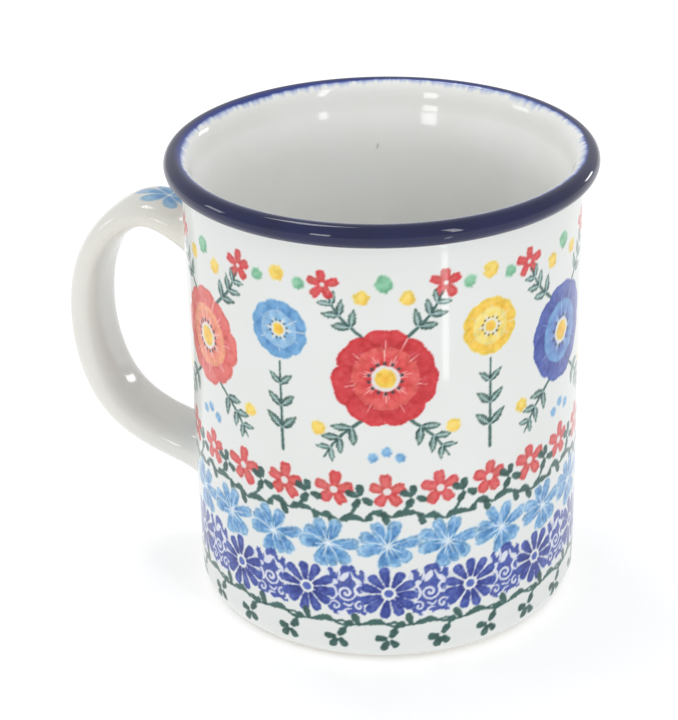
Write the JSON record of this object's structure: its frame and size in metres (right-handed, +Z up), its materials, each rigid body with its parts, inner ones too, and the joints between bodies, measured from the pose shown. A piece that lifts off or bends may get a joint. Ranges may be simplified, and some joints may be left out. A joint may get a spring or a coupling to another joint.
{
  "type": "stoneware mug",
  "caption": "Cylindrical folk-painted stoneware mug with a rolled cobalt-glazed lip, bare foot ring and luted strap handle, for hot and cold drinks.",
  "frame": {"origin": "on the cup's axis in the plane of the foot ring, where the mug stands on the table", "axes": "+Z up along the cup's axis, handle towards -X in the plane Y = 0, the main painted side towards -Y"},
  "size_m": [0.115, 0.089, 0.0992],
  "materials": {
    "bare_stoneware": "matte",
    "handle_clay": "matte",
    "slip": "matte",
    "liner_glaze": "gloss",
    "cobalt_glaze": "gloss",
    "decorated_glaze": "gloss",
    "handle_glaze": "gloss"
  },
  "bodies": {
    "root": {"cup_body": "bare_stoneware", "handle": "handle_clay", "upper_handle_joint": "slip", "lower_handle_joint": "slip", "liner_glaze": "liner_glaze", "rim_glaze": "cobalt_glaze", "outer_glaze": "decorated_glaze", "handle_glaze": "handle_glaze"}
  },
  "joints": []
}
